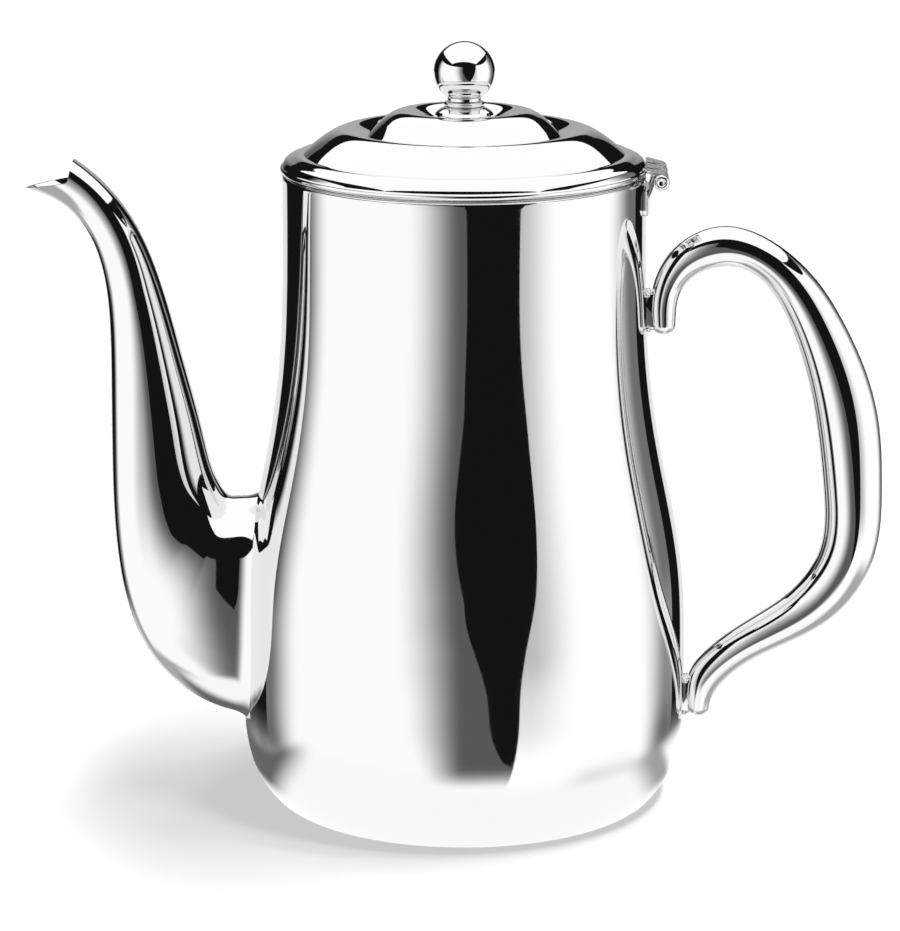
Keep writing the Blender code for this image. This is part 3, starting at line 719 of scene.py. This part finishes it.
def joined(name, parts, materials):
    """One object from several (points, faces) shells."""
    points, faces = [], []
    for part_points, part_faces in parts:
        start = len(points)
        points += part_points
        faces += [tuple(start + i for i in face) for face in part_faces]
    return new_object(name, points, faces, materials)


def curl(start, start_thickness):
    """Outline of a finger that leaves start along a tangent and wraps over the pin."""
    pin = Vector((HINGE.x, HINGE.z))
    reach = start - pin
    tangent = math.degrees(math.atan2(reach.y, reach.x) - math.acos(EYE_OUTER / reach.length))
    outer = arc(pin, (EYE_OUTER, EYE_OUTER), tangent, -150, 28)
    inner = arc(pin, (EYE_INNER, EYE_INNER), -150, tangent, 28)
    down = Vector((math.cos(math.radians(tangent)), math.sin(math.radians(tangent))))
    low = start - down * start_thickness
    return [tuple(start)] + outer + inner + [tuple(low)]


def make_lid_leaf():
    """Three fingers that leave the lid's edge and curl over the pin, with webs between them."""
    start = Vector((LID_LEAF_START[0], RIM + LID_LEAF_START[1]))
    outline = curl(start, LEAF_THICKNESS)
    half = KNUCKLE / 2
    parts = [bar(outline, k * 2 * KNUCKLE - half, k * 2 * KNUCKLE + half, FINGER_EDGE)
             for k in (-1, 0, 1)]
    first, last = Vector(outline[1]), Vector(outline[-2])
    share = (KNUCKLE_SLOT_X - start.x) / (first.x - start.x)
    top = start + (first - start) * share
    under = Vector(outline[-1]) + (last - Vector(outline[-1])) * share
    for side in (-1, 1):
        web = [tuple(start), tuple(top), tuple(under), outline[-1]]
        middle, reach = side * KNUCKLE, WEB_HALF * KNUCKLE
        parts.append(bar(web, middle - reach, middle + reach, WEB_EDGE))
    leaf = joined("lid_leaf", parts, [POLISHED])
    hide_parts("hinge_lid_leaf")
    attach(leaf, "lid")


def make_body_leaf():
    """The curved plate on the neck, and its two fingers that wrap under the pin."""
    inner = RIM_RADIUS + FIT_GAP
    outer = inner + BODY_LEAF_THICKNESS
    half_angle = math.asin(BODY_LEAF_HALF / outer)
    soft = BODY_LEAF_EDGE
    low, high = BODY_LEAF_Z
    points = []
    for angle in np.linspace(-half_angle, half_angle, BODY_LEAF_ROWS):
        rest = (half_angle - abs(angle)) * outer
        cut = max(BODY_LEAF_CORNER - rest, 0.0)
        drop = BODY_LEAF_CORNER - math.sqrt(max(BODY_LEAF_CORNER ** 2 - cut ** 2, 0.0))
        loop = arc((outer - soft, low + drop + soft), (soft, soft), -90, 0, 5)
        loop += arc((outer - soft, high - soft), (soft, soft), 0, 90, 5)
        loop += [(inner, high), (inner, low + drop)]
        points += [(r * math.cos(angle), r * math.sin(angle), z) for r, z in loop]
    parts = [(points, capped_faces(BODY_LEAF_ROWS, len(loop)))]
    pin = (HINGE.x, HINGE.z)
    outline = arc(pin, (EYE_OUTER, EYE_OUTER), 180, -110, 30)
    outline += arc(pin, (EYE_INNER, EYE_INNER), -110, 180, 30)
    outline += BODY_LEAF_NECK
    for side in (-1, 1):
        half = KNUCKLE / 2 - FIT_GAP
        parts.append(bar(outline, side * KNUCKLE - half, side * KNUCKLE + half, FINGER_EDGE))
    leaf = joined("body_leaf", parts, [POLISHED])
    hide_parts("hinge_body_leaf")
    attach(leaf, "pot")


def make_pin():
    """The hinge pin, with a dished and rounded head at each end."""
    face = 2.5 * KNUCKLE + FIT_GAP
    dome = natural_spline(PIN_HEAD, 5)
    half = [(max(r, 0.0), face + h) for r, h in dome] + [(PIN_RADIUS, face)]
    outline = half + [(r, -y) for r, y in half[::-1]]
    angles = np.radians(np.arange(0, 360, 5))
    rows = [[(HINGE.x + r * math.cos(a), y, HINGE.z + r * math.sin(a)) for a in angles]
            for r, y in outline[1:-1]]
    pin = grid("pin_with_heads", rows, [POLISHED], caps=True)
    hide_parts("hinge_pin")
    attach(pin, "pot")


def bead_of_weld(centre, radii):
    """A small lump of weld metal with a rippled skin."""
    tilts = np.radians(np.linspace(4, 176, 24))
    turns = np.radians(np.arange(0, 360, 10))
    points = []
    for tilt in tilts:
        for turn in turns:
            ripple = 1.0
            for depth, around, along in WELD_RIPPLES:
                ripple += depth * math.sin(around * turn + along * tilt)
            points.append((centre[0] + radii[0] * ripple * math.sin(tilt) * math.cos(turn),
                           centre[1] + radii[1] * ripple * math.sin(tilt) * math.sin(turn),
                           centre[2] + radii[2] * ripple * math.cos(tilt)))
    return points, capped_faces(len(tilts), len(turns))


def make_lugs():
    """The two lugs between body and handle, with a weld at both ends of each."""
    for node_name, box in (("handle_upper_lug", UPPER_LUG), ("handle_lower_lug", LOWER_LUG)):
        back, low, high = box
        heights = np.linspace(high, low, 9)
        touching = body_radius_at(heights) - LUG_INSET
        outline = [(back, low), (back, high)] + list(zip(touching, heights))
        parts = [bar(outline, -LUG_HALF_WIDTH, LUG_HALF_WIDTH, LUG_EDGE)]
        for height, size in ((high, 1.0), (low, LOW_WELD)):
            place = float(body_radius_at(height))
            for (out, across, up), (depth, width, tall) in WELDS:
                centre = (place + out, across, height + up)
                parts.append(bead_of_weld(centre, (depth, width, tall * size)))
        lug = joined("welded_" + node_name[7:], parts, [POLISHED])
        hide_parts(node_name)
        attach(lug, "pot")


# ---------------------------------------------------------------- studio
CAMERA_BEARING = 2.0  # degrees the camera stands to the right of -Y
CAMERA_TILT = 14.04
CAMERA_DISTANCE = 1.0
AIM_HEIGHT = 0.0938
AIM_SHIFT = -0.0039  # the aim's place to the right of the pot's axis
LENS = 138.1
FLOOR_ALBEDO = 0.9
WORLD_IN_REFLECTIONS = 0.008
FILL = 0.585  # floor's brightness from the overhead fill alone
KEY = 0.53  # and from the keys, which cast the shadow
KEY_SPREAD = 7.5  # angular size of a key, in degrees
# Keys: slope of the light in X and in Y, share of KEY
KEYS = [(-0.34, 0.15, 0.28), (-0.35, -0.02, 0.31), (-0.34, -0.17, 0.26), (-0.24, -0.33, 0.15)]

# Panels, which lie on a dome. Bearings and elevations are in degrees, from DOME_CENTRE
DOME = 1.2
DOME_CENTRE = 0.1
PATCH_ROWS = 60
PATCH_COLUMNS = 97
LEFT_END = -122.0
RIGHT_END = 134.0
PANEL_FOOT = -46.0
PANEL_TOP = 28.5
BOARD_TOP = 33.0
GAP_FOOT = -23.6
BOARD = 0.52  # distance of the right panel's board
ROOF = 0.85
LEFT_GLOW = 1.17
RIGHT_GLOW = 1.22
ROOF_GLOW = 1.2
BACKDROP_GLOW = 0.44
TABLE_FRONT, TABLE_SIDE, TABLE_BEHIND = 1.15, 0.47, 0.85

# The lit floor: radii, and the glow of its open part, its right side and its left side
LIT_RADII = (0.045, 0.134)
LIT_OPEN, LIT_RIGHT, LIT_LEFT = 1.14, 0.42, 0.15
LIT_EDGE = 0.106  # radius that it fades out by, but for the left front


def glow(name):
    """An emitting stage material: the mesh's level attribute is its strength, solid its opacity.

    Light that reached the floor first isn't counted, so the pot throws no bright patches on it.
    """
    material = bpy.data.materials.new(name)
    material.use_nodes = True
    tree = material.node_tree
    tree.nodes.clear()
    out = node(tree, "ShaderNodeOutputMaterial")
    emit = node(tree, "ShaderNodeEmission")
    level = node(tree, "ShaderNodeAttribute", attribute_name="level")
    path = node(tree, "ShaderNodeLightPath")
    direct = node(tree, "ShaderNodeMath", operation="LESS_THAN")
    direct.inputs[1].default_value = 0.5
    tree.links.new(path.outputs["Diffuse Depth"], direct.inputs[0])
    scale = node(tree, "ShaderNodeMath", operation="MULTIPLY")
    tree.links.new(level.outputs["Fac"], scale.inputs[0])
    tree.links.new(direct.outputs[0], scale.inputs[1])
    tree.links.new(scale.outputs[0], emit.inputs["Strength"])
    clear = node(tree, "ShaderNodeBsdfTransparent")
    solid = node(tree, "ShaderNodeAttribute", attribute_name="solid")
    mix = node(tree, "ShaderNodeMixShader")
    tree.links.new(solid.outputs["Fac"], mix.inputs["Fac"])
    tree.links.new(clear.outputs[0], mix.inputs[1])
    tree.links.new(emit.outputs[0], mix.inputs[2])
    tree.links.new(mix.outputs[0], out.inputs["Surface"])
    return material


GLOW = glow("panel_glow")


def reflector(name, points, faces, levels, solid=None):
    """A stage panel that only reflections see. solid, if given, is how opaque each point is."""
    mesh = bpy.data.meshes.new(name)
    mesh.from_pydata([tuple(p) for p in points], [], faces)
    mesh.materials.append(GLOW)
    for layer_name, values in (("level", levels), ("solid", solid or [1.0] * len(levels))):
        layer = mesh.attributes.new(layer_name, "FLOAT", "POINT")
        layer.data.foreach_set("value", values)
    panel = bpy.data.objects.new(name, mesh)
    bpy.context.scene.collection.objects.link(panel)
    panel.visible_camera = False
    panel.visible_diffuse = False
    panel.visible_shadow = False


def towards(angle, radius, height):
    """A point at a bearing, in degrees clockwise from the camera's, round the pot's axis."""
    a = math.radians(angle + CAMERA_BEARING)
    return (radius * math.sin(a), -radius * math.cos(a), height)


def dome_patch(name, elevations, ends, level, radius=None):
    """A patch of a large dome round the pot. ends(elevation) gives its two bearings, level(bearing,
    elevation) its brightness and opacity, and radius(bearing), if given, its distance.
    """
    points, values, solid = [], [], []
    for elevation in np.linspace(elevations[0], elevations[1], PATCH_ROWS):
        e = math.radians(elevation)
        low, high = ends(elevation)
        for bearing in np.linspace(low, high, PATCH_COLUMNS):
            if radius:
                reach = radius(bearing)
                points.append(towards(bearing, reach, DOME_CENTRE + reach * math.tan(e)))
            else:
                points.append(towards(bearing, DOME * math.cos(e), DOME_CENTRE + DOME * math.sin(e)))
            brightness, opacity = level(bearing, elevation)
            values.append(brightness)
            solid.append(opacity)
    reflector(name, points, patch_faces(PATCH_ROWS, PATCH_COLUMNS), values, solid)


def ramp(value, low, high):
    """0 below low, 1 above high, smooth between."""
    t = min(max((value - low) / (high - low), 0.0), 1.0)
    return t * t * (3 - 2 * t)


def blend(amount, low, high):
    """low where amount is 0, high where it is 1."""
    return low + (high - low) * amount


def left_edge(elevation):
    """Bearing of the left panel's right edge."""
    if elevation < GAP_FOOT:
        return 25.5
    return 0.036 * elevation ** 2 if elevation < 0 else -0.65 * min(elevation, 10.0)


def right_edge(elevation):
    """Bearing of the right panel's left edge."""
    return 36.5 + (0.48 if elevation < 0 else 0.35) * elevation


def left_level(bearing, elevation):
    """White beside the gap, falling off to the left, and fading out where the table begins."""
    shift = 0.4 * min(left_edge(max(elevation, GAP_FOOT)), 5.0)
    shade = 0.10 + 0.90 * ramp(shift - bearing, 2, blend(ramp(-elevation, 14, 26), 37, 26))
    shade *= blend(ramp(bearing, -118, -92), 0.16 * ramp(-elevation, 8, 16), 1.0)
    shade = blend(ramp(-elevation, 24, 32) * ramp(bearing, -60, -20), shade, 1.0)
    low = ramp(-elevation, 20, 27)
    opacity = 1 - low * (1 - ramp(bearing, -122, -95))
    return LEFT_GLOW * shade, opacity * (1 - ramp(-elevation, 31, 40) * (1 - ramp(bearing, -40, -10)))


def right_level(bearing, elevation):
    """Grey beside the gap, white further right, and dim past the pot's right side."""
    shade = 0.50 + 0.50 * ramp(bearing, 32, 60)
    shade = blend(ramp(-elevation, 14, 24), shade, 1.0)
    shade *= blend(ramp(bearing, 97, 125), 1.0, 0.15 + 0.11 * ramp(-elevation, 10, 17))
    low = ramp(-elevation, 20, 27)
    opacity = 1 - low * ramp(bearing, 100, 125)
    return RIGHT_GLOW * shade, opacity * (1 - ramp(-elevation, 26, 36) * ramp(bearing, 45, 70))


def bowl_level(bearing, elevation):
    """The table beyond the pot's foot: white in front, grey at the sides, light behind."""
    front = ramp(bearing, -40, -10) * (1 - ramp(bearing, 40, 70))
    behind = ramp(abs(bearing), 128, 142)
    facing = ramp(60 - abs(bearing - 15), 0, 20)
    opacity = blend(facing, ramp(-elevation, 20, 27), ramp(-elevation, 24, 27))
    return blend(behind, blend(front, TABLE_SIDE, TABLE_FRONT), TABLE_BEHIND), opacity


def backdrop_level(bearing, elevation):
    """The wall behind the pot, darker towards its two ends."""
    return BACKDROP_GLOW * (0.3 + 0.7 * ramp(90 - abs(bearing - 180), 68, 84)), 1.0


def make_studio():
    """Two side panels with a dark gap between them in front, a table, a backdrop and a roof."""
    dome_patch("left_panel", (PANEL_FOOT, PANEL_TOP), lambda e: (LEFT_END, left_edge(e)), left_level)
    dome_patch("right_panel", (PANEL_FOOT, BOARD_TOP), lambda e: (right_edge(e), RIGHT_END), right_level,
               radius=lambda b: BOARD / max(math.sin(math.radians(b)), 0.55))
    dome_patch("backdrop", (-5.0, 20.0), lambda e: (163.0, 204.0), backdrop_level)
    dome_patch("table_behind", (-22.0, -2.0), lambda e: (152.0, 211.0),
               lambda b, e: (TABLE_BEHIND, 1.0))
    dome_patch("table_bowl", (-84.0, -18.0), lambda e: (-180.0, 180.0), bowl_level,
               radius=lambda b: 1.02 * DOME)
    side, front, back = 0.865, -0.66, 1.20
    roof = [(-side, front, ROOF), (side, front, ROOF), (side, back, ROOF), (-side, back, ROOF)]
    reflector("roof_panel", roof, [(0, 1, 2, 3)], [ROOF_GLOW] * 4)


def make_floor():
    """The pale floor, and the lit disc of it that the pot's polished sides reflect."""
    material = bpy.data.materials.new("pale_floor")
    material.use_nodes = True
    tree = material.node_tree
    shader = tree.nodes["Principled BSDF"]
    shader.inputs["Base Color"].default_value = (FLOOR_ALBEDO, FLOOR_ALBEDO, FLOOR_ALBEDO, 1.0)
    shader.inputs["Roughness"].default_value = 0.8
    shader.inputs["Specular IOR Level"].default_value = 0.0
    mesh = bpy.data.meshes.new("floor")
    reach = 6.0
    mesh.from_pydata([(-reach, -reach, 0), (reach, -reach, 0), (reach, reach, 0), (-reach, reach, 0)],
                     [], [(0, 1, 2, 3)])
    mesh.materials.append(material)
    floor = bpy.data.objects.new("floor", mesh)
    bpy.context.scene.collection.objects.link(floor)
    floor.visible_glossy = False
    lit_floor()


def lit_floor():
    """The lit floor round the foot, in shade at both sides, as the polished body reflects it."""
    points, levels, solid = [], [], []
    radii, bearings = np.linspace(*LIT_RADII, 46), np.linspace(-180, 180, 145)
    for radius in radii:
        for bearing in bearings:
            points.append(towards(bearing, radius, -0.0002))
            side = ramp(abs(bearing), 62, 82) * ramp(radius, 0.055, 0.066)
            if bearing > 0:
                levels.append(blend(side * (1 - ramp(bearing, 88, 98)), LIT_OPEN, LIT_RIGHT))
            else:
                levels.append(blend(side, LIT_OPEN, LIT_LEFT))
            wide = ramp(bearing, -90, -70) * (1 - ramp(bearing, -25, -5))
            edge = blend(wide, LIT_EDGE, LIT_RADII[1])
            solid.append(1.0 - ramp(radius, 0.78 * edge, edge))
    reflector("lit_floor", points, patch_faces(len(radii), len(bearings)), levels, solid)


def sun(name, travel, irradiance, spread, shadow):
    """A far light travelling along a vector; spread is its angular size in degrees."""
    data = bpy.data.lights.new(name, "SUN")
    data.energy = irradiance
    data.angle = math.radians(spread)
    data.use_shadow = shadow
    lamp = bpy.data.objects.new(name, data)
    bpy.context.scene.collection.objects.link(lamp)
    lamp.matrix_world = Vector(travel).to_track_quat("-Z", "Y").to_matrix().to_4x4()
    lamp.visible_glossy = False


def make_lights():
    """An overhead fill without a shadow, and the keys that throw the pot's shadow to the left."""
    sun("fill", (0.0, 0.0, -1.0), FILL * math.pi / FLOOR_ALBEDO, 1.0, False)
    for number, (along, across, share) in enumerate(KEYS):
        sun("key_%d" % number, (along, across, -1.0), share * KEY * math.pi / FLOOR_ALBEDO,
            KEY_SPREAD, True)


def make_world():
    """White where the camera looks past the floor, dark grey in reflections."""
    world = bpy.data.worlds.new("studio")
    world.use_nodes = True
    bpy.context.scene.world = world
    tree = world.node_tree
    tree.nodes.clear()
    out = node(tree, "ShaderNodeOutputWorld")
    dark = node(tree, "ShaderNodeBackground")
    dark.inputs["Color"].default_value = (*[WORLD_IN_REFLECTIONS] * 3, 1.0)
    bright = node(tree, "ShaderNodeBackground")
    bright.inputs["Color"].default_value = (1.0, 1.0, 1.0, 1.0)
    path = node(tree, "ShaderNodeLightPath")
    mix = node(tree, "ShaderNodeMixShader")
    tree.links.new(path.outputs["Is Camera Ray"], mix.inputs["Fac"])
    tree.links.new(dark.outputs[0], mix.inputs[1])
    tree.links.new(bright.outputs[0], mix.inputs[2])
    tree.links.new(mix.outputs[0], out.inputs["Surface"])


def make_camera():
    """A long lens, a little to the right of the pot's front and above it."""
    azimuth, tilt = math.radians(CAMERA_BEARING), math.radians(CAMERA_TILT)
    right = Vector((math.cos(azimuth), math.sin(azimuth), 0.0))
    ahead = Vector((-math.sin(azimuth) * math.cos(tilt), math.cos(azimuth) * math.cos(tilt),
                    -math.sin(tilt)))
    up = right.cross(ahead)
    aim = Vector((0.0, 0.0, AIM_HEIGHT)) + right * AIM_SHIFT
    place = aim - ahead * CAMERA_DISTANCE
    data = bpy.data.cameras.new("camera")
    data.sensor_width = 36.0
    data.lens = LENS
    camera = bpy.data.objects.new("camera", data)
    camera.matrix_world = Matrix(((right.x, up.x, -ahead.x, place.x), (right.y, up.y, -ahead.y, place.y),
                                  (right.z, up.z, -ahead.z, place.z), (0, 0, 0, 1)))
    bpy.context.scene.collection.objects.link(camera)
    bpy.context.scene.camera = camera


make_camera()
make_world()
make_floor()
make_studio()
make_lights()
make_body()
make_base()
make_spout()
make_handle()
make_lid()
make_finial()
make_fixings()
make_lid_leaf()
make_body_leaf()
make_pin()
make_lugs()
bpy.context.scene.view_settings.view_transform = "Standard"
